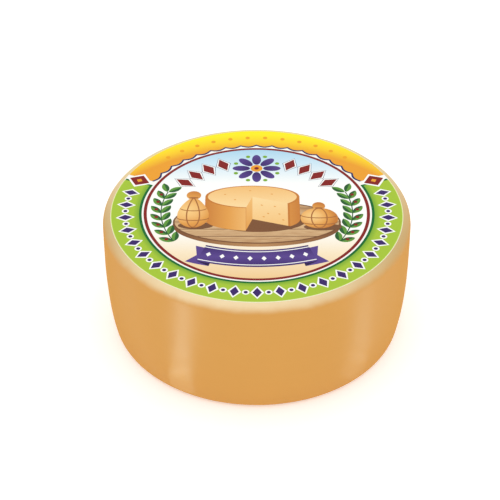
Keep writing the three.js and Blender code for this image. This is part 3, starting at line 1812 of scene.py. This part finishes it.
@dataclass(frozen=True)
class Ribbon:
    """The plain purple ribbon under the board, with folded tails and white keylines, and no words."""

    centre: Point = (0.0, 0.62)
    radii: Point = (1.066, 1.250)
    half: float = 18.6
    tail_half: float = 21.8
    tail_tuck: float = 14.4
    tail_shift: float = 0.030
    notch: float = 0.045
    tip_reach: float = 0.008  # how near to a tail's tip the point lies that is pulled in
    run_over: float = 0.04  # how far past the ribbon's inner edge its colour runs
    keylines: tuple[float, ...] = (1.086, 1.230)
    keyline: float = 0.008
    spot: Point = (0.024, 0.017)
    spot_step: float = 4.3
    spot_margin: float = 2.5

    def build(self, press: Press) -> None:
        """Prints the tails, the folds, the ribbon and its ornament.

        Args:
            press: the press.
        """
        tails = []
        folds = []
        for side in (-1.0, 1.0):
            tails.append(self.tail(press, side))
            folds.append(self.fold(press, side))
        press.print(join("ribbon_tails", tails), Coat.UNDER, flat(Tint.VIOLET))
        press.print(join("ribbon_folds", folds), Coat.BASE, flat(Tint.PLUM))

        inner, outer = self.radii
        start, end = about(DOWN, self.half)
        far, near = self.centre[1] - inner + self.run_over, self.centre[1] - outer
        silk = Ink("silk", (Tint.PURPLE, Tint.VIOLET, Tint.PURPLE), Run.UPWARDS, near, far)
        press.print(press.band("ribbon", self.radii, (start, end), self.centre), Coat.SHADE, silk)
        lines = [
            press.band("ribbon_lines", about(radius, self.keyline / 2), (start, end), self.centre)
            for radius in self.keylines
        ]
        press.print(join("ribbon_lines", lines), Coat.BODY, flat(Tint.WHITE))
        turns = spaced(start + self.spot_margin, end - self.spot_margin, self.spot_step)
        places = ring_places(self.centre, (inner + outer) / 2, turns)
        spots = press.scatter("ribbon_spots", Corners.LOZENGE, self.spot, places)
        press.print(spots, Coat.BODY, flat(Tint.WHITE))

    def tail(self, press: Press, side: float) -> Piece:
        """Cuts one of the tails, with the notch in its end.

        Args:
            press: the press.
            side: -1 for the left tail and 1 for the right one.

        Returns:
            The flat tail.
        """
        low, high = (radius + self.tail_shift for radius in self.radii)
        start, end = sorted((DOWN + side * self.tail_tuck, DOWN + side * self.tail_half))
        length = self.tail_half - self.tail_tuck
        tail = press.band("ribbon_tails", (low, (low + high) / 2, high), (start, end), self.centre, length)
        self.cut_notch(press, tail, side)
        return tail

    def cut_notch(self, press: Press, tail: Piece, side: float) -> None:
        """Pulls the middle of a tail's end inwards.

        Args:
            press: the press.
            tail: the flat tail, with a row of points along its middle.
            side: -1 for the left tail and 1 for the right one.
        """
        middle = sum(self.radii) / 2 + self.tail_shift
        angle = DOWN + side * self.tail_half
        tip = press.at(polar(self.centre, middle, angle))
        inwards = press.way(MIDDLE, polar(MIDDLE, self.notch, angle - side * QUARTER_TURN))
        with editing(tail):
            pick(tail, lambda place: (place - tip).length < self.tip_reach * press.radius)
            bpy.ops.transform.translate(value=inwards)

    def fold(self, press: Press, side: float) -> Piece:
        """Cuts the dark fold that shows between the ribbon and one tail.

        Args:
            press: the press.
            side: -1 for the left fold and 1 for the right one.

        Returns:
            The flat fold.
        """
        _, outer = self.radii
        end, tuck = DOWN + side * self.half, DOWN + side * self.tail_tuck
        corners = ((outer, end), (outer, tuck), (outer + self.tail_shift, tuck))
        return press.chain("ribbon_folds", [polar(self.centre, *corner) for corner in corners], closed=True)


@dataclass(frozen=True)
class Label:
    """The whole label: its film and all that is printed on it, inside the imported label's thickness.

    Attributes:
        radius: the label's radius.
        foot: the height of its underside.
        top: the height of its printed face.
    """

    radius: float
    foot: float
    top: float
    film_share: float = 0.5

    def build(self) -> None:
        """Makes the film, then prints each motif on it."""
        film_top = self.foot + self.film_share * (self.top - self.foot)
        Film(self.radius, self.foot, film_top).build()
        press = Press(self.radius, film_top, (self.top - film_top) / len(Coat))
        motifs: tuple[Motif, ...] = (
            Sky(),
            GreenArc(),
            GoldArc(),
            Diamonds(),
            RedLozenges(),
            Rosette(),
            Board(),
            CutWheel(),
            TiedCheese("pear_cheese", (-0.435, -0.02), 0.120, 0.175, 0.050, taper=0.5),
            TiedCheese("ball_cheese", (0.425, -0.085), 0.128, 0.118, 0.044),
            Sprig("left_sprig", mirrored=False),
            Sprig("right_sprig", mirrored=True),
            Ribbon(),
        )
        for motif in motifs:
            motif.build(press)


# ----------------------------------------------------------------------------------------------------------
# The studio: floor, light and camera
# ----------------------------------------------------------------------------------------------------------


@dataclass(frozen=True)
class Streak:
    """An upright streak of light that the wheel's side mirrors from a row of lamps on the floor."""

    angle: float  # where it stands on the side, anticlockwise from the front
    brightness: float  # of its lamps, where a white backdrop is 1
    swing: float  # how far the row is turned about its pivot, in degrees


@dataclass(frozen=True)
class Studio:
    """A plain pale floor under even white light, with two rows of low lamps that streak the wheel's side."""

    wheel_radius: float
    floor_size: float = 12.0
    sky: Colour = Colour(255, 255, 255)
    sky_strength: float = 0.96
    key_place: Triple = (0.0, 0.1, 1.8)
    key_size: float = 1.6
    key_power: float = 3.0
    streaks: tuple[Streak, ...] = (Streak(-28.6, 3.7, 5.0), Streak(43.4, 1.05, 2.3))
    streak_steps: int = 7
    streak_gap: float = -0.008  # from the wheel's widest to the near end of the row
    streak_length: float = 0.159
    streak_width: float = 0.020
    streak_fan: float = 0.06  # what the lamps gain in width, as a share of their distance from the wheel
    streak_dim: float = 0.19  # what the wheel's end of the row gives, as a share of the far end's light
    streak_tilt: float = 46.0  # towards the wheel, in degrees
    streak_beam: float = 54.0  # the angle that each lamp lights
    streak_lift: float = 0.001  # above the floor
    streak_pivot: float = 0.06  # how far the row's pivot is from the wheel
    streak_tint: Triple = (0.72, 1.0, 0.98)

    def build(self) -> None:
        """Lays the floor and hangs the lights."""
        clear_bench()
        bpy.ops.mesh.primitive_plane_add(size=self.floor_size)
        floor = dress(name_new("floor"), FloorFinish().material())
        world = bpy.data.worlds.new("studio")
        world.use_nodes = True
        backdrop = world.node_tree.nodes["Background"]
        backdrop.inputs["Color"].default_value = self.sky.linear()
        backdrop.inputs["Strength"].default_value = self.sky_strength
        bpy.context.scene.world = world
        bpy.context.scene.view_settings.view_transform = "Standard"
        self.lamp("key", self.key_place, (0.0, 0.0, 0.0), (self.key_size, self.key_size), self.key_power)
        for streak in self.streaks:
            self.light(streak)

    def lamp(self, name: str, place: Triple, turn: Triple, size: Point, power: float) -> bpy.types.Object:
        """Hangs one flat lamp.

        Args:
            name: the lamp's name.
            place: where it is.
            turn: how it is turned from shining straight down, in radians.
            size: its width and length.
            power: its power in watts.

        Returns:
            The lamp.
        """
        clear_bench()
        bpy.ops.object.light_add(type="AREA", location=place, rotation=turn)
        lamp = bpy.context.active_object
        lamp.name = name
        lamp.data.shape = "RECTANGLE"
        lamp.data.size, lamp.data.size_y = size
        lamp.data.energy = power
        return lamp

    def light(self, streak: Streak) -> None:
        """Lays a streak's fan of lamps on the floor.

        Args:
            streak: the streak.
        """
        front = -QUARTER_TURN
        foot = polar(MIDDLE, self.wheel_radius, front + streak.angle)
        pivot = polar(foot, self.streak_pivot, front + 2 * streak.angle)
        tilt = math.radians(self.streak_tilt)
        turn = (math.pi - tilt, 0.0, math.radians(2 * streak.angle))
        length = self.streak_length / self.streak_steps
        height = self.streak_lift + length / 2 * math.sin(tilt)
        for step in range(self.streak_steps):
            distance = self.streak_gap + (step + 0.5) * length
            x, y = polar(pivot, distance - self.streak_pivot, front + 2 * streak.angle + streak.swing)
            size = (self.streak_width + self.streak_fan * distance, length)
            share = self.streak_dim + (1 - self.streak_dim) * (step + 0.5) / self.streak_steps
            power = share * streak.brightness * math.pi * size[0] * size[1]
            lamp = self.lamp("streak", (x, y, height), turn, size, power)
            lamp.data.color = self.streak_tint
            lamp.data.spread = math.radians(self.streak_beam)
            lamp.visible_camera = False
            lamp.visible_diffuse = False
            lamp.visible_transmission = False


@dataclass(frozen=True)
class Viewpoint:
    """The camera, which looks along +Y and down on the wheel."""

    aim: Triple = (-0.0053, 0.0, 0.0651)
    elevation: float = 37.02  # in degrees above the floor
    distance: float = 1.3695
    lens: float = 124.5  # in millimetres, as the sensor is
    sensor: float = 36.0

    def build(self) -> None:
        """Sets the camera up."""
        tilt = math.radians(self.elevation)
        back = Vector((0.0, -math.cos(tilt), math.sin(tilt)))
        clear_bench()
        bpy.ops.object.camera_add(
            location=Vector(self.aim) + self.distance * back, rotation=(math.pi / 2 - tilt, 0.0, 0.0)
        )
        camera = bpy.context.active_object
        camera.name = "camera"
        camera.data.lens = self.lens
        camera.data.sensor_width = self.sensor
        bpy.context.scene.camera = camera


def main() -> None:
    """Builds the wheel, its label and the studio round them."""
    logging.basicConfig(level=logging.INFO, format="%(message)s")
    _, wheel_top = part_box("cheese_wheel")
    label_foot, label_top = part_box("top_label")
    Wheel(radius=wheel_top.x, height=wheel_top.z).build()
    Label(radius=label_top.x, foot=label_foot.z, top=label_top.z).build()
    Studio(wheel_radius=wheel_top.x).build()
    Viewpoint().build()


if __name__ == "__main__":
    main()
